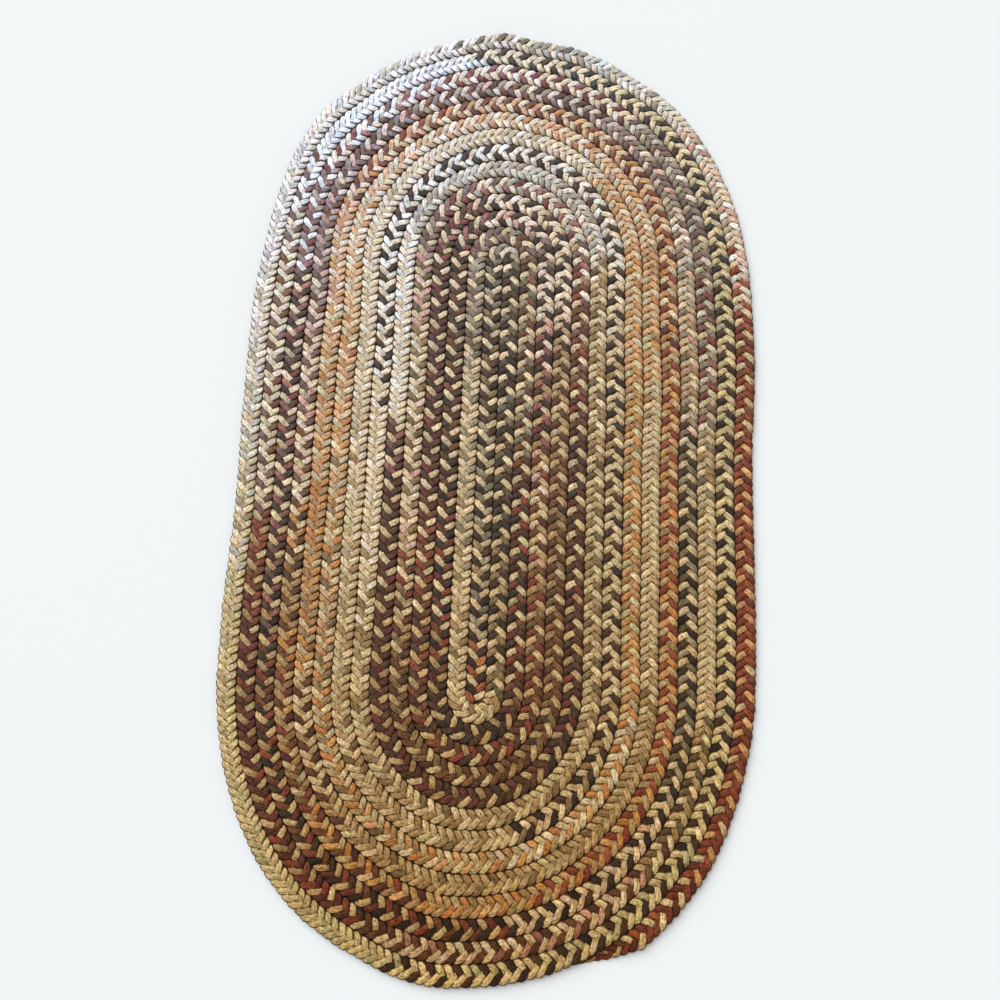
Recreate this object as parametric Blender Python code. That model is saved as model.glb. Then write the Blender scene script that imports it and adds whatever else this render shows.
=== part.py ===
"""Oval braided rug, lying flat.

One long three-strand braid is wound in a flat spiral, clockwise from above, and laced edge to edge.
The spiral starts at the near end of a straight centre run. Each half round of the braid ends in a turn:
the far turns lie round a point half a braid to the right of the centre run, the near turns round its end.
The outer end of the braid tapers off against the round before it, at the near right.
Units are metres, +Z up, +Y towards the far end of the rug.
"""

import math

import bmesh
import bpy

BRAID_WIDTH = 0.0246
THICKNESS = 0.0095
ROUNDS = 14
CENTRE_RUN = 24.4 * BRAID_WIDTH

# Each turn is half an ellipse. It is a little longer than it is wide, and the wider it is, the further
# back along the straight run it begins, by these shares of its half width.
FAR_TURN_STRETCH = 1.128
FAR_TURN_SETBACK = 0.074
NEAR_TURN_STRETCH = 1.104
NEAR_TURN_SETBACK = 0.069

# The braid's outer end: degrees of its last near turn at which it starts to narrow, and where it is gone.
TAPER_START_DEGREES = 53.0
TAPER_END_DEGREES = 66.5

# How far the outermost round stands out from the even oval, going round the rug anticlockwise.
UNEVEN_EDGE = [
    # (degrees round the rug, bulge in millimetres)
    (0, 0.0),
    (14, 6.0),
    (30, -2.0),
    (48, 0.0),
    (60, -5.0),
    (72, -2.5),
    (83, -5.0),
    (92, 5.0),
    (104, -1.0),
    (118, 1.0),
    (127, 2.0),
    (135, 8.0),
    (154, -6.0),
    (163, 1.0),
    (174, 0.5),
    (185, -3.0),
    (196, 0.0),
    (207, -2.0),
    (230, 3.5),
    (244, 1.0),
    (258, 4.0),
    (274, -1.0),
    (316, 2.5),
    (331, -2.0),
    (346, 1.0),
    (360, 0.0),
]

# The upper side of one braid: two rows of strands stand proud, with a dip between them and a deeper
# groove along each laced edge.
BRAID_PROFILE = [
    # (share of the braid's width from its middle, height in metres)
    (-0.5, 0.0064),
    (-0.25, THICKNESS),
    (0.0, 0.0086),
    (0.25, THICKNESS),
    (0.5, 0.0064),
]
RIM_HEIGHT = 0.0022
RIM_INSET = 0.0020

STRAIGHT_STEPS = 8
TURN_STEPS = 20
WELD_DISTANCE = 0.00005
WOOL_COLOUR = (0.36, 0.29, 0.22, 1.0)
WOOL_ROUGHNESS = 0.95


def clear_scene():
    for obj in list(bpy.data.objects):
        bpy.data.objects.remove(obj, do_unlink=True)


def edge_bulge(x, y):
    """The outermost round's bulge, in metres, on the ray from the rug's middle through (x, y)."""
    half_width = ROUNDS * BRAID_WIDTH
    half_length = half_width * FAR_TURN_STRETCH + 0.5 * CENTRE_RUN
    across = (x - 0.5 * BRAID_WIDTH) / half_width
    along = (y - 0.5 * CENTRE_RUN) / half_length
    angle = math.degrees(math.atan2(along, across)) % 360.0
    for (start, bulge), (end, next_bulge) in zip(UNEVEN_EDGE, UNEVEN_EDGE[1:]):
        if angle <= end:
            share = (angle - start) / (end - start)
            ease = share * share * (3.0 - 2.0 * share)
            return (bulge + (next_bulge - bulge) * ease) / 1000.0
    return 0.0


def spiral_point(rounds, offset):
    """The place that is `rounds` rounds along the braid and `offset` braid widths outwards of its middle.

    A quarter of each round is counted for the run up the left, for the far turn, for the run down the
    right and for the near turn.
    """
    whole = math.floor(rounds)
    quarter, share = divmod(4.0 * (rounds - whole), 1.0)
    left = (whole + offset) * BRAID_WIDTH
    far = left + 0.5 * BRAID_WIDTH
    right = left + BRAID_WIDTH
    far_end = CENTRE_RUN - FAR_TURN_SETBACK * far
    if quarter == 0:
        near_end = NEAR_TURN_SETBACK * abs(left)
        x, y = -left, near_end + (far_end - near_end) * share
        reach, outward = abs(left), (-1.0, 0.0)
    elif quarter == 1:
        angle = math.pi * (1.0 - share)
        outward = (math.cos(angle), math.sin(angle))
        x = 0.5 * BRAID_WIDTH + far * outward[0]
        y = far_end + FAR_TURN_STRETCH * far * outward[1]
        reach = far
    elif quarter == 2:
        near_end = NEAR_TURN_SETBACK * right
        x, y = right, far_end + (near_end - far_end) * share
        reach, outward = right, (1.0, 0.0)
    else:
        angle = -math.pi * share
        outward = (math.cos(angle), math.sin(angle))
        x = right * outward[0]
        y = NEAR_TURN_SETBACK * right + NEAR_TURN_STRETCH * right * outward[1]
        reach = right
    bulge = edge_bulge(x, y) * (reach / (ROUNDS * BRAID_WIDTH)) ** 2
    return x + bulge * outward[0], y + bulge * outward[1]


def stations():
    """The braid's sections from its start to its tapered end, counted in rounds."""
    last_near_turn = ROUNDS - 0.25
    end = last_near_turn + 0.25 * TAPER_END_DEGREES / 180.0
    found = []
    for whole in range(ROUNDS):
        for quarter in range(4):
            steps = TURN_STEPS if quarter % 2 else STRAIGHT_STEPS
            found += [whole + 0.25 * (quarter + step / steps) for step in range(steps)]
    return [rounds for rounds in found if rounds < end - 0.001] + [end]


def width_share(rounds):
    """How much of its full width the braid still has: all of it, up to the taper at its outer end."""
    degrees = (rounds - (ROUNDS - 0.25)) / 0.25 * 180.0
    left = (TAPER_END_DEGREES - degrees) / (TAPER_END_DEGREES - TAPER_START_DEGREES)
    return min(1.0, max(0.0, left))


def wound_braid():
    """The rug's upper side: one strip of the braid's profile, wound up and joined along its edges."""
    sections = stations()
    bm = bmesh.new()
    bmesh.ops.create_grid(
        bm, x_segments=len(BRAID_PROFILE) - 1, y_segments=len(sections) - 1, size=0.5
    )
    for vertex in bm.verts:
        column = round((vertex.co.x + 0.5) * (len(BRAID_PROFILE) - 1))
        rounds = sections[round((vertex.co.y + 0.5) * (len(sections) - 1))]
        offset, height = BRAID_PROFILE[column]
        groove = BRAID_PROFILE[0][1]
        width = width_share(rounds)
        from_inner_edge = (offset + 0.5) * width
        x, y = spiral_point(rounds, from_inner_edge - 0.5)
        vertex.co = (x, y, groove + (height - groove) * width)
    bmesh.ops.remove_doubles(bm, verts=bm.verts, dist=WELD_DISTANCE)
    return bm


def close_start(bm):
    """Fill the small half round between the braid's start and the first near turn round it."""
    near_start = [
        edge
        for edge in bm.edges
        if edge.is_boundary and max(v.co.xy.length for v in edge.verts) < BRAID_WIDTH
    ]
    bmesh.ops.contextual_create(bm, geom=near_start)


def add_side_and_underside(bm):
    """Turn the rim down, roll it under a little, and close the flat underside."""
    rim = [edge for edge in bm.edges if edge.is_boundary]
    for height, inset in ((RIM_HEIGHT, 0.0), (0.0, RIM_INSET)):
        grown = bmesh.ops.extrude_edge_only(bm, edges=rim)["geom"]
        lower = [item for item in grown if isinstance(item, bmesh.types.BMVert)]
        width, length = extent(lower)
        shrink = (1.0 - 2.0 * inset / width, 1.0 - 2.0 * inset / length, 1.0)
        bmesh.ops.scale(bm, verts=lower, vec=shrink)
        for vertex in lower:
            vertex.co.z = height
        rim = [item for item in grown if isinstance(item, bmesh.types.BMEdge) and item.is_boundary]
    bmesh.ops.contextual_create(bm, geom=rim)


def extent(verts):
    xs = [v.co.x for v in verts]
    ys = [v.co.y for v in verts]
    return max(xs) - min(xs), max(ys) - min(ys)


def centre_on_origin(bm):
    xs = [v.co.x for v in bm.verts]
    ys = [v.co.y for v in bm.verts]
    middle = (-0.5 * (min(xs) + max(xs)), -0.5 * (min(ys) + max(ys)), 0.0)
    bmesh.ops.translate(bm, verts=bm.verts, vec=middle)


def wool_material():
    material = bpy.data.materials.new("braided_wool")
    material.use_nodes = True
    shader = material.node_tree.nodes["Principled BSDF"]
    shader.inputs["Base Color"].default_value = WOOL_COLOUR
    shader.inputs["Roughness"].default_value = WOOL_ROUGHNESS
    shader.inputs["Metallic"].default_value = 0.0
    return material


def build_rug():
    bm = wound_braid()
    close_start(bm)
    centre_on_origin(bm)
    add_side_and_underside(bm)
    bmesh.ops.triangulate(bm, faces=[face for face in bm.faces if len(face.verts) > 4])
    bmesh.ops.recalc_face_normals(bm, faces=bm.faces)
    mesh = bpy.data.meshes.new("braided_rug")
    bm.to_mesh(mesh)
    bm.free()
    mesh.shade_smooth()
    mesh.set_sharp_from_angle(angle=math.radians(50))
    mesh.materials.append(wool_material())
    rug = bpy.data.objects.new("braided_rug", mesh)
    bpy.context.collection.objects.link(rug)
    return rug


clear_scene()
build_rug()
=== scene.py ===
import math

import bmesh
import bpy
import numpy as np
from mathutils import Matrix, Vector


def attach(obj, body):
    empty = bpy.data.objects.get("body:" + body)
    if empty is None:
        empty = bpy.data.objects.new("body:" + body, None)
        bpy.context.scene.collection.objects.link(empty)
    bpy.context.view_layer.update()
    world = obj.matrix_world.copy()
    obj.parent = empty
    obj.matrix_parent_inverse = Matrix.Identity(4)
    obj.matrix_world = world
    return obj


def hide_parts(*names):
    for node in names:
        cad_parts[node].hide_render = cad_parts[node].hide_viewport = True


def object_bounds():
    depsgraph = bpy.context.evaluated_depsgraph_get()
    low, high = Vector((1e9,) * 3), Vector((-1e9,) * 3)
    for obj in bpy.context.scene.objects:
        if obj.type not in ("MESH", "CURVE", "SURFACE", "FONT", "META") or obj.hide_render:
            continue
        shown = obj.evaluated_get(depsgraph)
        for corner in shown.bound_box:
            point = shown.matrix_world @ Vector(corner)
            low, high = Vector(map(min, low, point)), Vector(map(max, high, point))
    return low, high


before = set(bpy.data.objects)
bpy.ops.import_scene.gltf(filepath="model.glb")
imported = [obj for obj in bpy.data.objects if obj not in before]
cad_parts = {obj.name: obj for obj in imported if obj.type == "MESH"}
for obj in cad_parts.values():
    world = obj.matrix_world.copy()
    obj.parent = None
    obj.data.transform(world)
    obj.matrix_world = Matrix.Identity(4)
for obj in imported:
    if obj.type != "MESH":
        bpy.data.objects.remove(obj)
cad_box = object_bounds()
RUG_THICKNESS = cad_box[1].z - cad_box[0].z

# ---------------------------------------------------------------------------------------------
# The braid. Three strands of heathered wool, each a soft knitted tube pressed flat, are plaited
# into one band. It is wound clockwise round a straight first run, in an oval spiral, and its outer
# end is thinned and tucked against the round before.

BRAID_WIDTH = 0.0246
ROUNDS = 14
CENTRE_RUN = 24.4 * BRAID_WIDTH

# Each turn is half an ellipse, a little longer than wide. The wider the turn, the earlier it leaves
# the straight run, by these shares of its half width.
FAR_TURN_STRETCH = 1.128
FAR_TURN_SETBACK = 0.074
NEAR_TURN_STRETCH = 1.104
NEAR_TURN_SETBACK = 0.069

# A near turn takes the last quarter of each round. In the last one the outer end narrows, between
# these degrees of the turn.
TURN_SHARE = 0.25
LAST_TURN_START = ROUNDS - TURN_SHARE
TAPER_START_DEGREES = 53.0
TAPER_END_DEGREES = 66.5

# There its strands are no thinner, and lie no flatter, than these shares of the whole braid's.
THINNEST_END = 0.3
FLATTEST_END = 0.25

# A hand-laid edge is never quite even: how far the outermost round stands out from the oval,
# going round the rug anticlockwise. Inner rounds follow it less and less.
UNEVEN_EDGE = [
    # (degrees round the rug, bulge in millimetres)
    (0, 0.0),
    (14, 6.0),
    (30, -2.0),
    (48, 0.0),
    (60, -5.0),
    (72, -2.5),
    (83, -5.0),
    (92, 5.0),
    (104, -1.0),
    (118, 1.0),
    (127, 2.0),
    (135, 8.0),
    (154, -6.0),
    (163, 1.0),
    (174, 0.5),
    (185, -3.0),
    (196, 0.0),
    (207, -2.0),
    (230, 3.5),
    (244, 1.0),
    (258, 4.0),
    (274, -1.0),
    (316, 2.5),
    (331, -2.0),
    (346, 1.0),
    (360, 0.0),
]


def edge_bulge(x, y):
    """The outermost round's bulge, in metres, on the ray from the rug's middle through (x, y)."""
    half_width = ROUNDS * BRAID_WIDTH
    half_length = half_width * FAR_TURN_STRETCH + 0.5 * CENTRE_RUN
    across = (x - 0.5 * BRAID_WIDTH) / half_width
    along = (y - 0.5 * CENTRE_RUN) / half_length
    angle = math.degrees(math.atan2(along, across)) % 360.0
    for (start, bulge), (end, next_bulge) in zip(UNEVEN_EDGE, UNEVEN_EDGE[1:]):
        if angle <= end:
            share = (angle - start) / (end - start)
            ease = share * share * (3.0 - 2.0 * share)
            return (bulge + (next_bulge - bulge) * ease) / 1000.0
    return 0.0


def winding_point(rounds, offset):
    """The place `rounds` rounds along the braid and `offset` braid widths outwards of its middle.

    A quarter of each round is counted for the run up the left, for the far turn, for the run down
    the right and for the near turn. Before its start the braid runs straight back.
    """
    whole = max(0, math.floor(rounds))
    quarter, share = divmod(4.0 * (rounds - whole), 1.0)
    left = (whole + offset) * BRAID_WIDTH
    far = left + 0.5 * BRAID_WIDTH
    right = left + BRAID_WIDTH
    far_end = CENTRE_RUN - FAR_TURN_SETBACK * far
    if quarter <= 0:
        share += quarter
        near_end = NEAR_TURN_SETBACK * abs(left)
        x, y = -left, near_end + (far_end - near_end) * share
        reach, outward = abs(left), (-1.0, 0.0)
    elif quarter == 1:
        angle = math.pi * (1.0 - share)
        outward = (math.cos(angle), math.sin(angle))
        x = 0.5 * BRAID_WIDTH + far * outward[0]
        y = far_end + FAR_TURN_STRETCH * far * outward[1]
        reach = far
    elif quarter == 2:
        near_end = NEAR_TURN_SETBACK * right
        x, y = right, far_end + (near_end - far_end) * share
        reach, outward = right, (1.0, 0.0)
    else:
        angle = -math.pi * share
        outward = (math.cos(angle), math.sin(angle))
        x = right * outward[0]
        y = NEAR_TURN_SETBACK * right + NEAR_TURN_STRETCH * right * outward[1]
        reach = right
    bulge = edge_bulge(x, y) * (reach / (ROUNDS * BRAID_WIDTH)) ** 2
    return x + bulge * outward[0], y + bulge * outward[1]


def braid_narrowing(rounds):
    """How much of its full width the braid has: all of it, up to the taper at its outer end."""
    degrees = (rounds - LAST_TURN_START) / TURN_SHARE * 180.0
    left = (TAPER_END_DEGREES - degrees) / (TAPER_END_DEGREES - TAPER_START_DEGREES)
    return min(1.0, max(0.0, left))


# A tape measure along the braid's middle line, from its start to its thinned end.
TAPE_STEPS = 9000
LAST_ROUND = LAST_TURN_START + TURN_SHARE * TAPER_END_DEGREES / 180.0
tape_rounds = np.linspace(0.0, LAST_ROUND, TAPE_STEPS)
tape_points = np.array([winding_point(rounds, 0.0) for rounds in tape_rounds])
tape_lengths = np.linalg.norm(np.diff(tape_points, axis=0), axis=1)
tape_metres = np.concatenate([[0.0], np.cumsum(tape_lengths)])
BRAID_LENGTH = float(tape_metres[-1])
START_PACE = float(tape_rounds[1] / tape_metres[1])


def rounds_at(metres):
    """Rounds wound at a length along the braid; just before its start they run on below 0."""
    if metres < 0.0:
        return metres * START_PACE
    return float(np.interp(metres, tape_metres, tape_rounds))


# The winding's middle is set on the middle of the frame's rug.
whole_rounds = tape_rounds[tape_rounds < LAST_TURN_START]
edge_points = np.array([winding_point(rounds, 0.5) for rounds in whole_rounds])
frame_middle = 0.5 * (cad_box[0] + cad_box[1])
SHIFT_X = frame_middle.x - 0.5 * (edge_points[:, 0].min() + edge_points[:, 0].max())
SHIFT_Y = frame_middle.y - 0.5 * (edge_points[:, 1].min() + edge_points[:, 1].max())

# The wool. Every strand is made up of lengths of tweed sewn end to end, and its cloth is changed
# every so often, one strand at a time. A tweed is spun from a few shades, and now one and now
# another of them shows.
SHADES = {
    # name: red, green, blue, from 0 to 255
    "soot": (56, 42, 30),
    "coal": (70, 56, 42),
    "ink": (62, 60, 58),
    "peat": (88, 62, 44),
    "brown": (100, 68, 42),
    "chestnut": (118, 78, 50),
    "hazel": (140, 104, 66),
    "maroon": (98, 54, 46),
    "burgundy": (122, 64, 60),
    "brick": (142, 74, 56),
    "rust": (138, 70, 44),
    "terracotta": (166, 94, 66),
    "rose": (160, 106, 98),
    "mauve": (122, 94, 84),
    "dusk": (150, 132, 124),
    "taupe": (136, 114, 80),
    "moss": (112, 100, 70),
    "slate": (126, 118, 98),
    "stone": (168, 156, 132),
    "mist": (198, 197, 182),
    "tan": (174, 144, 104),
    "sand": (200, 172, 130),
    "beige": (214, 196, 160),
    "oat": (212, 192, 154),
    "cream": (230, 210, 176),
    "ivory": (238, 226, 206),
    "chalk": (236, 238, 228),
    "straw": (224, 209, 164),
    "sage": (200, 192, 156),
    "shell": (230, 208, 190),
    "pink": (214, 166, 150),
    "apricot": (222, 180, 134),
    "peach": (216, 168, 124),
    "orange": (202, 138, 82),
    "gold": (204, 156, 98),
}

TWEEDS = {
    # cloth: the shades that show, each as often as it is named
    "near black": ("coal", "coal", "soot", "peat"),
    "blue black": ("ink", "coal", "ink"),
    "dark brown": ("peat", "brown", "coal"),
    "brown": ("brown", "chestnut", "peat"),
    "hazel": ("hazel", "hazel", "taupe", "chestnut"),
    "red brown": ("chestnut", "brick", "maroon"),
    "brick": ("brick", "chestnut", "brick", "maroon"),
    "rust": ("terracotta", "rust", "brick"),
    "maroon": ("maroon", "maroon", "burgundy", "peat"),
    "burgundy": ("burgundy", "rose", "burgundy", "maroon"),
    "rose": ("rose", "rose", "burgundy", "mauve"),
    "mauve": ("mauve", "mauve", "chestnut"),
    "mauve grey": ("dusk", "mauve", "dusk", "stone"),
    "taupe": ("taupe", "taupe", "moss", "tan"),
    "olive": ("moss", "taupe", "peat"),
    "dark slate": ("slate", "moss", "coal"),
    "slate": ("slate", "moss", "stone"),
    "stone": ("stone", "stone", "tan", "slate"),
    "pale grey": ("mist", "stone", "ivory"),
    "mist": ("mist", "mist", "stone"),
    "tan": ("tan", "tan", "oat", "taupe"),
    "sand": ("sand", "sand", "tan", "oat"),
    "beige": ("beige", "oat", "beige", "tan"),
    "oatmeal": ("oat", "beige", "cream"),
    "cream": ("cream", "cream", "oat", "beige"),
    "ivory": ("ivory", "ivory", "cream"),
    "white": ("chalk", "ivory", "chalk"),
    "straw": ("straw", "straw", "cream", "sage"),
    "shell": ("shell", "ivory", "pink"),
    "sage": ("sage", "straw", "oat"),
    "pale green": ("sage", "mist", "ivory"),
    "pink cream": ("shell", "shell", "pink", "cream"),
    "pink": ("pink", "shell", "rose"),
    "apricot": ("apricot", "peach", "beige"),
    "orange": ("orange", "peach", "gold"),
    "coral": ("peach", "peach", "apricot", "orange"),
    "ginger": ("peach", "terracotta", "orange"),
    "gold": ("gold", "apricot", "tan"),
    "old gold": ("gold", "tan", "orange", "hazel"),
}

STRIPS = [
    [
        # the first strand: (rounds wound when the strip begins, its cloth)
        (0.0, "near black"),
        (0.35, "pale grey"),
        (0.44, "near black"),
        (0.74, "taupe"),
        (0.81, "cream"),
        (1.19, "slate"),
        (1.27, "mauve"),
        (1.50, "brown"),
        (1.63, "near black"),
        (2.61, "brick"),
        (3.10, "maroon"),
        (3.25, "burgundy"),
        (3.34, "ivory"),
        (3.53, "tan"),
        (3.62, "hazel"),
        (4.02, "brick"),
        (4.07, "pink cream"),
        (4.16, "ivory"),
        (4.21, "pink"),
        (4.26, "rose"),
        (4.50, "red brown"),
        (4.60, "maroon"),
        (5.12, "rose"),
        (5.15, "ivory"),
        (5.50, "cream"),
        (5.70, "beige"),
        (6.03, "ivory"),
        (6.55, "beige"),
        (6.75, "tan"),
        (6.86, "beige"),
        (7.00, "cream"),
        (7.44, "apricot"),
        (7.57, "gold"),
        (7.76, "ivory"),
        (7.86, "oatmeal"),
        (8.12, "cream"),
        (8.40, "apricot"),
        (8.58, "cream"),
        (8.75, "sand"),
        (9.00, "old gold"),
        (9.11, "apricot"),
        (9.28, "coral"),
        (9.55, "orange"),
        (9.93, "old gold"),
        (10.10, "pink cream"),
        (10.22, "mauve grey"),
        (10.50, "beige"),
        (10.58, "slate"),
        (10.79, "pink cream"),
        (10.86, "brick"),
        (11.02, "rose"),
        (11.35, "burgundy"),
        (11.43, "mauve grey"),
        (11.50, "rose"),
        (11.59, "beige"),
        (11.66, "oatmeal"),
        (11.76, "tan"),
        (11.81, "pink"),
        (11.90, "maroon"),
        (12.03, "brick"),
        (12.10, "ivory"),
        (12.29, "white"),
        (12.36, "cream"),
        (12.50, "sage"),
        (12.60, "straw"),
        (13.12, "pale green"),
        (13.20, "ivory"),
        (13.37, "sage"),
        (13.39, "pale grey"),
        (13.45, "pink cream"),
        (13.49, "rust"),
    ],
    [
        # the second strand
        (0.0, "cream"),
        (0.40, "stone"),
        (0.50, "cream"),
        (0.65, "oatmeal"),
        (1.02, "cream"),
        (1.60, "oatmeal"),
        (1.75, "sand"),
        (2.03, "cream"),
        (2.33, "ivory"),
        (2.42, "pink cream"),
        (2.57, "sand"),
        (3.04, "cream"),
        (3.55, "sand"),
        (4.04, "cream"),
        (4.38, "ivory"),
        (4.52, "oatmeal"),
        (4.70, "sand"),
        (5.04, "oatmeal"),
        (5.15, "ivory"),
        (5.28, "pale grey"),
        (5.50, "beige"),
        (5.78, "oatmeal"),
        (6.02, "beige"),
        (6.06, "ivory"),
        (6.18, "white"),
        (6.50, "cream"),
        (6.58, "oatmeal"),
        (7.10, "ivory"),
        (7.44, "cream"),
        (7.55, "straw"),
        (7.76, "beige"),
        (7.86, "tan"),
        (8.12, "apricot"),
        (8.25, "ivory"),
        (8.48, "beige"),
        (8.76, "sand"),
        (8.95, "oatmeal"),
        (9.02, "tan"),
        (9.11, "beige"),
        (9.20, "pink cream"),
        (9.30, "cream"),
        (9.52, "sand"),
        (10.06, "cream"),
        (10.20, "pink cream"),
        (10.60, "cream"),
        (10.86, "sand"),
        (11.08, "cream"),
        (11.25, "white"),
        (11.35, "cream"),
        (11.43, "pale green"),
        (11.60, "cream"),
        (11.92, "sand"),
        (12.08, "cream"),
        (12.20, "straw"),
        (12.27, "white"),
        (12.36, "straw"),
        (12.50, "sage"),
        (12.60, "straw"),
        (13.06, "ivory"),
        (13.38, "mist"),
        (13.41, "white"),
        (13.50, "cream"),
        (13.60, "apricot"),
        (13.80, "cream"),
    ],
    [
        # the third strand
        (0.0, "ginger"),
        (0.035, "stone"),
        (0.15, "olive"),
        (0.22, "slate"),
        (0.42, "dark slate"),
        (0.66, "taupe"),
        (0.76, "tan"),
        (1.05, "stone"),
        (1.19, "mauve grey"),
        (1.40, "mauve"),
        (1.50, "stone"),
        (1.62, "red brown"),
        (1.80, "dark brown"),
        (2.00, "red brown"),
        (2.10, "brown"),
        (2.27, "rose"),
        (2.35, "pink cream"),
        (2.42, "mauve grey"),
        (2.50, "shell"),
        (2.54, "rose"),
        (2.61, "pink cream"),
        (2.68, "hazel"),
        (2.74, "brown"),
        (3.10, "dark brown"),
        (3.34, "near black"),
        (3.55, "brown"),
        (4.02, "tan"),
        (4.10, "taupe"),
        (4.25, "mauve grey"),
        (4.34, "pale grey"),
        (4.47, "tan"),
        (4.50, "mauve"),
        (4.58, "dark brown"),
        (5.15, "white"),
        (5.28, "mist"),
        (5.50, "taupe"),
        (5.75, "tan"),
        (6.07, "cream"),
        (6.16, "near black"),
        (6.60, "dark brown"),
        (6.75, "near black"),
        (6.85, "tan"),
        (7.03, "beige"),
        (7.16, "cream"),
        (7.44, "orange"),
        (8.20, "coral"),
        (8.57, "beige"),
        (8.72, "tan"),
        (8.94, "brown"),
        (9.00, "orange"),
        (9.28, "brick"),
        (9.55, "rust"),
        (9.85, "gold"),
        (9.90, "red brown"),
        (10.03, "brown"),
        (10.09, "mauve"),
        (10.30, "brown"),
        (10.42, "mauve grey"),
        (10.47, "pale grey"),
        (10.51, "stone"),
        (10.58, "near black"),
        (11.25, "mauve grey"),
        (11.29, "ivory"),
        (11.43, "mauve grey"),
        (11.57, "stone"),
        (11.65, "beige"),
        (11.76, "olive"),
        (11.81, "brown"),
        (11.91, "red brown"),
        (12.09, "mauve"),
        (12.29, "white"),
        (12.355, "blue black"),
        (12.50, "near black"),
        (12.90, "sage"),
        (13.06, "mist"),
        (13.18, "pale green"),
        (13.36, "slate"),
        (13.39, "ivory"),
        (13.44, "pink cream"),
        (13.52, "brick"),
    ],
]

# Painted light: the far left end of the rug is painted lighter and cooler, and the near end darker and
# warmer, as a window at the far left would light it. It changes along the rug over the length set
# below, and slants across its width, the more so towards the far end. Far off, the colours are also
# lifted a little towards a pale grey.
FAR_END_PAINTED_LIGHT = np.array((1.08, 1.12, 1.37))
NEAR_END_PAINTED_LIGHT = np.array((0.76, 0.61, 0.40))
PAINTED_LIGHT_LENGTH = 1.2
PAINTED_LIGHT_SLANT = 0.55
PAINTED_LIGHT_FAN = 0.85
PAINTED_LIGHT_PAST_ENDS = 0.1
PAINTED_LIGHT_GREY = 0.85
PAINTED_LIGHT_LIFT = 0.06

# How much the lobes of one tweed differ, and how far a splice is from where it was meant to be.
LOBE_LIGHTNESS = 0.10
LOBE_HUE = 0.022
MOST_SECOND_SHADE = 0.45
SPLICE_WANDER = 0.004

# The plait. A strand swings from edge to edge of the braid. On each crossing it dips under one
# strand and then climbs over the other, a little late. Its outer loops lie ahead of its inner ones,
# so the sides of the V are not quite equal.
PERIOD = 1.33 * BRAID_WIDTH
STRAND_WIDTH = 0.0106
STRAND_THICKNESS = 0.0060
FLAT_SHARE = 0.62
SWING = 0.348
RISE = 0.0018
SKEW = 0.28
FOLD = math.radians(16.0)
RING_POINTS = 6
STEPS_PER_PERIOD = 16
START_OVERHANG = 0.010
END_GAP = 0.002
WELD_DISTANCE = 1e-6

# How much of a period each strand runs ahead.
TURNS = (0.0, 2.0 / 3.0, 1.0 / 3.0)

# A hand is never quite even either: how much a strand's swing, lay, height and width wander.
SWING_WANDER = 0.05
LAY_WANDER = 0.0004
HEIGHT_WANDER = 0.0002
WIDTH_WANDER = 0.04

hand = np.random.default_rng(7)


def strand_path(turn):
    """The strand's points, widths, half waves and metres; it runs `turn` of a period ahead."""
    count = int((BRAID_LENGTH + START_OVERHANG) / PERIOD * STEPS_PER_PERIOD)
    metres = np.linspace(-START_OVERHANG, BRAID_LENGTH - END_GAP, count)
    phase = 2.0 * math.pi * (metres / PERIOD + turn)
    half_waves = phase / math.pi
    slots = int(half_waves[-1]) + 3
    wander = hand.normal(0.0, 1.0, (4, slots))
    wander = [np.interp(half_waves, np.arange(slots), row) for row in wander]
    swings = SWING * np.sin(phase) * (1.0 + SWING_WANDER * wander[0])
    heights = RISE * np.sin(2.0 * phase - FOLD)
    points, sizes = [], []
    for length, swing, height, lift, lay, girth in zip(metres, swings, heights, *wander[1:]):
        narrow = braid_narrowing(rounds_at(length))
        offset = (swing + 0.5) * narrow - 0.5
        leaning = length + SKEW * swing * BRAID_WIDTH * narrow + LAY_WANDER * lay
        x, y = winding_point(rounds_at(leaning), offset)
        flat = max(FLATTEST_END, narrow)
        size = max(THINNEST_END, narrow) * (1.0 + WIDTH_WANDER * girth)
        z = (0.5 * RUG_THICKNESS + height + HEIGHT_WANDER * lift) * flat
        on_floor = 0.5 * STRAND_THICKNESS * size
        points.append((x + SHIFT_X, y + SHIFT_Y, max(z, on_floor)))
        sizes.append(size)
    return np.array(points), np.array(sizes), half_waves, metres


def strand_section():
    """The flattened round of one strand, as a closed curve."""
    curve = bpy.data.curves.new("strand_section", "CURVE")
    curve.dimensions = "2D"
    spline = curve.splines.new("POLY")
    spline.points.add(RING_POINTS - 1)
    corners = [(1.0, 0.0), (FLAT_SHARE, 1.0), (-FLAT_SHARE, 1.0)]
    corners += [(-across, -up) for across, up in corners]
    for point, (across, up) in zip(spline.points, corners):
        point.co = (0.5 * STRAND_WIDTH * across, 0.5 * STRAND_THICKNESS * up, 0.0, 1.0)
    spline.use_cyclic_u = True
    section = bpy.data.objects.new("strand_section", curve)
    bpy.context.collection.objects.link(section)
    return section


def light_of(value):
    """A shade's number from 0 to 255 as the share of light that it gives back."""
    value = value / 255.0
    return value / 12.92 if value <= 0.04045 else ((value + 0.055) / 1.055) ** 2.4


def painted_window_light(x, y):
    """How much painted window light a place gets: about 0 at the near end and 1 at the far end."""
    share = 0.5 + y / PAINTED_LIGHT_LENGTH - (PAINTED_LIGHT_SLANT + PAINTED_LIGHT_FAN * y) * x
    return min(1.0 + PAINTED_LIGHT_PAST_ENDS, max(-PAINTED_LIGHT_PAST_ENDS, share))


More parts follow.
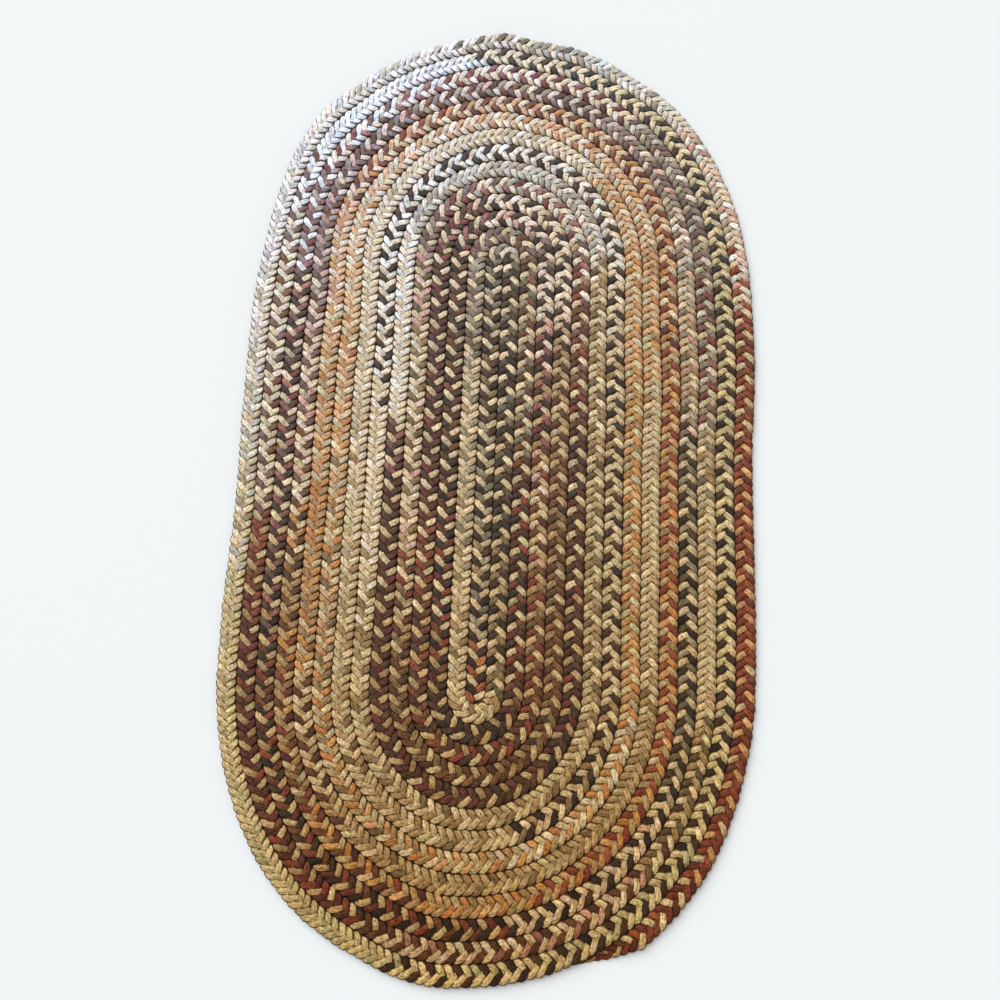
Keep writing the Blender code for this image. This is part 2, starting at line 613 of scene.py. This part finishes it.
def lobe_colours(points, half_waves, metres, strips):
    """The colour at each point of a strand: one for each lobe that shows between crossings, with
    painted light over it.
    """
    lobes = np.floor(half_waves + 1.0 / STEPS_PER_PERIOD).astype(int)
    lobes -= lobes.min()
    starts = [start for start, cloth in strips]
    colours = []
    for lobe in range(lobes.max() + 1):
        first = int(np.argmax(lobes == lobe))
        rounds = rounds_at(metres[first]) + hand.normal(0.0, SPLICE_WANDER)
        strip = max(0, int(np.searchsorted(starts, rounds, side="right")) - 1)
        tweed = TWEEDS[strips[strip][1]]
        shade = SHADES[tweed[hand.integers(len(tweed))]]
        second = SHADES[tweed[hand.integers(len(tweed))]]
        mix = hand.uniform(0.0, MOST_SECOND_SHADE)
        colour = [light_of(a) + (light_of(b) - light_of(a)) * mix for a, b in zip(shade, second)]
        colour = np.array(colour) * math.exp(hand.normal(0.0, LOBE_LIGHTNESS))
        colour = colour * np.exp(hand.normal(0.0, LOBE_HUE, 3))
        # Painted light: lighter and cooler towards the far left end, darker and warmer at the near end,
        # and lifted a little towards pale grey far off.
        far = painted_window_light(*points[first][:2])
        colour = colour * NEAR_END_PAINTED_LIGHT * (FAR_END_PAINTED_LIGHT / NEAR_END_PAINTED_LIGHT) ** far
        colours.append(colour + (PAINTED_LIGHT_GREY - colour) * PAINTED_LIGHT_LIFT * far)
    return np.array(colours)[lobes]


def swept_mesh(name, curve):
    """The mesh of a curve with its thickness and its end caps."""
    route = bpy.data.objects.new(name + "_route", curve)
    bpy.context.collection.objects.link(route)
    graph = bpy.context.evaluated_depsgraph_get()
    mesh = bpy.data.meshes.new_from_object(route.evaluated_get(graph))
    mesh.name = name
    bpy.data.objects.remove(route)
    return mesh


def add_piece(name, mesh, material):
    """A piece from its swept mesh: its caps are welded on and its faces turned outwards."""
    bm = bmesh.new()
    bm.from_mesh(mesh)
    bmesh.ops.remove_doubles(bm, verts=bm.verts, dist=WELD_DISTANCE)
    bmesh.ops.recalc_face_normals(bm, faces=bm.faces)
    bm.to_mesh(mesh)
    bm.free()
    mesh.materials.clear()
    mesh.materials.append(material)
    piece = bpy.data.objects.new(name, mesh)
    bpy.context.collection.objects.link(piece)
    return piece


def make_strand(name, turn, section, strips, material):
    """One strand as a closed mesh, which carries its colours and its place along the knitting."""
    points, sizes, half_waves, metres = strand_path(turn)
    curve = bpy.data.curves.new(name, "CURVE")
    curve.dimensions = "3D"
    curve.twist_mode = "Z_UP"
    curve.bevel_mode = "OBJECT"
    curve.bevel_object = section
    curve.use_fill_caps = True
    spline = curve.splines.new("POLY")
    spline.points.add(len(points) - 1)
    spline.points.foreach_set("co", np.column_stack([points, np.ones(len(points))]).ravel())
    spline.points.foreach_set("radius", sizes)
    mesh = swept_mesh(name, curve)

    # The mesh holds the cap of its outer end first, then its rings in order, then its first cap.
    rings = np.arange(len(mesh.vertices)) // RING_POINTS - 1
    rings[:RING_POINTS] = len(points) - 1
    rings[-RING_POINTS:] = 0
    colours = lobe_colours(points, half_waves, metres, strips)[rings]
    colour_layer = mesh.attributes.new("tweed_and_painted_light_colour", "FLOAT_COLOR", "POINT")
    colour_layer.data.foreach_set("color", np.column_stack([colours, np.ones(len(rings))]).ravel())
    corners = np.array([point.co[:2] for point in section.data.splines[0].points])
    around = corners[np.arange(len(mesh.vertices)) % RING_POINTS]
    place_layer = mesh.attributes.new("strand_place", "FLOAT_VECTOR", "POINT")
    place_layer.data.foreach_set("vector", np.column_stack([around, metres[rings]]).ravel())
    return add_piece(name, mesh, material)


def add_node(tree, kind, inputs=None, **settings):
    """A node with its settings, and its inputs given as values or as other nodes' outputs."""
    node = tree.nodes.new(kind)
    for name, value in settings.items():
        setattr(node, name, value)
    for key, value in (inputs or {}).items():
        if isinstance(value, bpy.types.NodeSocket):
            tree.links.new(value, node.inputs[key])
        else:
            node.inputs[key].default_value = value
    return node


def maths(tree, operation, first, second=0.0, third=0.0):
    """One sum on two or three numbers or outputs."""
    node = add_node(tree, "ShaderNodeMath", {0: first, 1: second, 2: third}, operation=operation)
    return node.outputs[0]


def vectors(tree, operation, first, second):
    """One sum on two vectors or colours."""
    node = add_node(tree, "ShaderNodeVectorMath", {0: first, 1: second}, operation=operation)
    return node.outputs[0]


def times(tree, *values):
    """The product of two or more numbers or outputs."""
    product = values[0]
    for value in values[1:]:
        product = maths(tree, "MULTIPLY", product, value)
    return product


def between(tree, value, low, high, to_low, to_high):
    """A smooth step from to_low to to_high, as the value goes from low to high."""
    inputs = {"Value": value, "From Min": low, "From Max": high, "To Min": to_low, "To Max": to_high}
    node = add_node(tree, "ShaderNodeMapRange", inputs, interpolation_type="SMOOTHSTEP")
    return node.outputs["Result"]


def noise(tree, vector, scale, detail):
    """Plain noise, from about 0.25 to 0.75, with `scale` waves in a metre."""
    inputs = {"Vector": vector, "Scale": scale, "Detail": detail}
    return add_node(tree, "ShaderNodeTexNoise", inputs).outputs[0]


def arch(tree, value):
    """Round humps, side by side: one from each whole number to the next."""
    wave = maths(tree, "SINE", maths(tree, "MULTIPLY", value, math.pi))
    return maths(tree, "SQRT", maths(tree, "ABSOLUTE", wave))


# The knitting: the stitches' length and number round the strand, and how far a column and a row of
# them wander, in stitches.
STITCH_LENGTH = 0.0023
STITCHES_AROUND = 12
COLUMN_WANDER = 0.5
ROW_WANDER = 0.8

# Waves in a metre of what varies over the knitting. Hairs and flecks are drawn out along it.
STITCH_WANDER_SCALE = 260.0
CARDING_SCALE = 330.0
FLECK_SCALE = 700.0
HAIR_SCALE = 1500.0
DRAWN_OUT = (1.0, 1.0, 0.6)

# How each of these shades the wool: (from this level, to this level, the light given back at the first,
# and at the second). A groove's level is the distance from a strand's middle line, and the depth's is
# the height above or below the rug's middle; groove and depth are painted shade.
HAIR_SHADES = (0.25, 0.75, 0.78, 1.22)
FLECK_SHADES = (0.34, 0.46, 0.50, 1.02)
CARDING_SHADES = (0.32, 0.68, 0.70, 1.30)
# Painted shade in the gaps between stitches.
STITCH_GAP_PAINTED_SHADES = (0.0, 0.6, 0.62, 1.06)
GROOVE_PAINTED_SHADES = (0.29 * STRAND_WIDTH, 0.37 * STRAND_WIDTH, 1.0, 0.18)
DEPTH_PAINTED_SHADES = (0.0006, 0.0030, 0.75, 1.0)

# The power that the shade is raised to for each colour. For green and blue it changes along the
# rug: (from here, to here, the power at the first, and at the second).
RED_POWER = 0.85
GREEN_POWERS = (-0.5, 0.5, 1.06, 0.92)
BLUE_POWERS = (-0.5, 0.5, 1.50, 0.95)


def wool_material():
    """Heathered wool knitted into a tube: stitches, flecks, loose fibres, and painted shade on its
    sides and between its stitches.
    """
    material = bpy.data.materials.new("tweed_wool")
    material.use_nodes = True
    tree = material.node_tree
    shader = tree.nodes["Principled BSDF"]
    colour = add_node(tree, "ShaderNodeAttribute", attribute_name="tweed_and_painted_light_colour").outputs["Color"]
    place = add_node(tree, "ShaderNodeAttribute", attribute_name="strand_place").outputs["Vector"]
    parts = add_node(tree, "ShaderNodeSeparateXYZ", {"Vector": place})
    across, up, along = parts.outputs["X"], parts.outputs["Y"], parts.outputs["Z"]

    # Knitted stitches: small Vs in columns round the strand, with painted shade in the gaps between
    # them.
    wander = noise(tree, place, STITCH_WANDER_SCALE, 1.0)
    angle = maths(tree, "ARCTAN2", up, across)
    column = maths(tree, "MULTIPLY", angle, STITCHES_AROUND / (2.0 * math.pi))
    column = maths(tree, "ADD", column, maths(tree, "MULTIPLY", wander, COLUMN_WANDER))
    leg = maths(tree, "PINGPONG", column, 0.5)
    row_wander = maths(tree, "MULTIPLY", wander, ROW_WANDER)
    row = maths(tree, "MULTIPLY_ADD", along, 1.0 / STITCH_LENGTH, row_wander)
    row = maths(tree, "ADD", row, leg)
    stitch = times(tree, arch(tree, row), arch(tree, maths(tree, "MULTIPLY", column, 2.0)))

    # Heather: flecks of dark wool, patches of lighter and darker carding, and fine hairs.
    drawn_out = vectors(tree, "MULTIPLY", place, DRAWN_OUT)
    hairs = noise(tree, drawn_out, HAIR_SCALE, 3.0)
    flecks = noise(tree, drawn_out, FLECK_SCALE, 1.0)
    carding = noise(tree, place, CARDING_SCALE, 2.0)
    hair_shade = between(tree, hairs, *HAIR_SHADES)
    fleck_shade = between(tree, flecks, *FLECK_SHADES)
    carding_shade = between(tree, carding, *CARDING_SHADES)
    stitch_gap_painted_shade = between(tree, stitch, *STITCH_GAP_PAINTED_SHADES)

    # Painted shade: the sides of a strand, where they sink between its neighbours, are darkened, and
    # the wool is darker the nearer it lies to the rug's middle height, deep in the grooves and round
    # the rim.
    side = maths(tree, "ABSOLUTE", across)
    groove_painted_shade = between(tree, side, *GROOVE_PAINTED_SHADES)
    coordinates = add_node(tree, "ShaderNodeTexCoord").outputs["Object"]
    position = add_node(tree, "ShaderNodeSeparateXYZ", {"Vector": coordinates})
    from_middle = maths(tree, "SUBTRACT", position.outputs["Z"], 0.5 * RUG_THICKNESS)
    height = maths(tree, "ABSOLUTE", from_middle)
    depth_painted_shade = between(tree, height, *DEPTH_PAINTED_SHADES)

    # What is darker is also browner, the painted shade as much as the wool's own dark marks: most at
    # the near end, less at the far end, under the painted window light.
    shade = times(tree, hair_shade, fleck_shade, carding_shade, stitch_gap_painted_shade, groove_painted_shade, depth_painted_shade)
    green_power = between(tree, position.outputs["Y"], *GREEN_POWERS)
    blue_power = between(tree, position.outputs["Y"], *BLUE_POWERS)
    red = maths(tree, "POWER", shade, RED_POWER)
    green = maths(tree, "POWER", shade, green_power)
    blue = maths(tree, "POWER", shade, blue_power)
    brown_shade = add_node(tree, "ShaderNodeCombineXYZ", {"X": red, "Y": green, "Z": blue})
    shaded = vectors(tree, "MULTIPLY", colour, brown_shade.outputs[0])
    tree.links.new(shaded, shader.inputs["Base Color"])

    surface = maths(tree, "MULTIPLY_ADD", hairs, 0.5, stitch)
    bump = add_node(tree, "ShaderNodeBump", {"Height": surface, "Strength": 0.8, "Distance": 0.0004})
    tree.links.new(bump.outputs[0], shader.inputs["Normal"])
    shader.inputs["Roughness"].default_value = 0.95
    shader.inputs["Specular IOR Level"].default_value = 0.03
    shader.inputs["Sheen Weight"].default_value = 0.05
    shader.inputs["Sheen Roughness"].default_value = 0.6
    return material


section = strand_section()
wool = wool_material()
for number, (turn, strips) in enumerate(zip(TURNS, STRIPS), 1):
    strand = make_strand(f"wool_strand_{number}", turn, section, strips, wool)
    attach(strand, "root")
    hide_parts("braided_rug")
bpy.data.objects.remove(section)

# ---------------------------------------------------------------------------------------------
# The lacing. One waxed cotton thread joins each round to the round inside it: it zigzags along the
# groove between them, from loop to loop, at half the rug's thickness, and is drawn tight.

LACING_DIAMETER = 0.0022
LACING_STEP = PERIOD / 6.0
LACING_SWING = 0.07
LACING_START = 0.5
# The thread's dark brown also stands as painted shade in the groove between rounds.
COTTON_AND_GROOVE_SHADE_COLOUR = (0.070, 0.042, 0.022)
PLY_SCALE = 900.0
PLY_SHADES = (0.3, 0.7, 0.6, 1.3)


def lacing_curve():
    """The thread's zigzag, from where the braid first comes back beside itself to its end."""
    curve = bpy.data.curves.new("lacing_thread", "CURVE")
    curve.dimensions = "3D"
    curve.bevel_depth = 0.5 * LACING_DIAMETER
    curve.bevel_resolution = 0
    curve.use_fill_caps = True
    first = float(np.interp(LACING_START, tape_rounds, tape_metres))
    lengths = np.arange(first, BRAID_LENGTH, LACING_STEP)
    spline = curve.splines.new("POLY")
    spline.points.add(len(lengths) - 1)
    side = 1.0
    for point, length in zip(spline.points, lengths):
        rounds = rounds_at(length)
        x, y = winding_point(rounds, -0.5 + LACING_SWING * side)
        z = 0.5 * RUG_THICKNESS * max(FLATTEST_END, braid_narrowing(rounds))
        point.co = (x + SHIFT_X, y + SHIFT_Y, z, 1.0)
        side = -side
    return curve


def cotton_material():
    """Brown waxed cotton, dark enough to stand as painted shade in the groove: fine plies, a little
    uneven.
    """
    material = bpy.data.materials.new("waxed_cotton")
    material.use_nodes = True
    tree = material.node_tree
    shader = tree.nodes["Principled BSDF"]
    coordinates = add_node(tree, "ShaderNodeTexCoord").outputs["Object"]
    plies = noise(tree, coordinates, PLY_SCALE, 2.0)
    shade = between(tree, plies, *PLY_SHADES)
    inputs = {0: COTTON_AND_GROOVE_SHADE_COLOUR, "Scale": shade}
    colour = add_node(tree, "ShaderNodeVectorMath", inputs, operation="SCALE")
    tree.links.new(colour.outputs[0], shader.inputs["Base Color"])
    bump = add_node(tree, "ShaderNodeBump", {"Height": plies, "Strength": 0.5, "Distance": 0.0003})
    tree.links.new(bump.outputs[0], shader.inputs["Normal"])
    shader.inputs["Roughness"].default_value = 0.8
    return material


lacing_mesh = swept_mesh("lacing_thread", lacing_curve())
lacing = add_piece("lacing_thread", lacing_mesh, cotton_material())
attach(lacing, "root")
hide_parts("braided_rug")

# ---------------------------------------------------------------------------------------------
# The floor. A plain pale studio floor, smooth and matt, which the rug lies flat on. It isn't part
# of the rug.

FLOOR_REACH = 6.0
FLOOR_COLOUR = (0.78, 0.78, 0.78, 1.0)

bm = bmesh.new()
bmesh.ops.create_grid(bm, x_segments=1, y_segments=1, size=FLOOR_REACH)
floor_mesh = bpy.data.meshes.new("floor")
bm.to_mesh(floor_mesh)
bm.free()
floor = bpy.data.objects.new("floor", floor_mesh)
bpy.context.collection.objects.link(floor)
floor_paint = bpy.data.materials.new("floor_white")
floor_paint.use_nodes = True
shader = floor_paint.node_tree.nodes["Principled BSDF"]
shader.inputs["Base Color"].default_value = FLOOR_COLOUR
shader.inputs["Roughness"].default_value = 0.8
floor.data.materials.append(floor_paint)

# ---------------------------------------------------------------------------------------------
# The light and the camera. A warm, even light comes from all round, and a broad, cooler window light
# falls alike on the whole rug, from the far left. The camera looks down steeply from the near end.

# Where the window lies, seen from the rug. It sets only the direction of its light.
WINDOW_PLACE = (-1.0, 1.2, 1.5)
WINDOW_ANGLE = math.radians(54.0)
WINDOW_POWER = 3.2
WINDOW_COLOUR = (0.82, 0.92, 1.0)
ROOM_COLOUR = (1.0, 0.94, 0.86, 1.0)
ROOM_STRENGTH = 0.56

room = bpy.data.worlds.new("room")
room.use_nodes = True
room.node_tree.nodes["Background"].inputs["Color"].default_value = ROOM_COLOUR
room.node_tree.nodes["Background"].inputs["Strength"].default_value = ROOM_STRENGTH
bpy.context.scene.world = room

window = bpy.data.lights.new("window_light", "SUN")
window.color = WINDOW_COLOUR
window.angle = WINDOW_ANGLE
window.energy = WINDOW_POWER
window_light = bpy.data.objects.new("window_light", window)
window_light.location = WINDOW_PLACE
window_light.rotation_euler = (-window_light.location).to_track_quat("-Z", "Y").to_euler()
bpy.context.collection.objects.link(window_light)

# Yarn colours are kept true, with no film look over them.
bpy.context.scene.view_settings.view_transform = "Standard"

CAMERA_PLACE = (0.0176, -0.3441, 1.2672)
CAMERA_ELEVATION = math.radians(77.18)
CAMERA_TURN = math.radians(2.25)
CAMERA_LENS = 35.0
camera_data = bpy.data.cameras.new("camera")
camera_data.sensor_width = 36.0
camera_data.lens = CAMERA_LENS
camera = bpy.data.objects.new("camera", camera_data)
camera.location = CAMERA_PLACE
camera.rotation_euler = (math.radians(90.0) - CAMERA_ELEVATION, 0.0, CAMERA_TURN)
bpy.context.collection.objects.link(camera)
bpy.context.scene.camera = camera
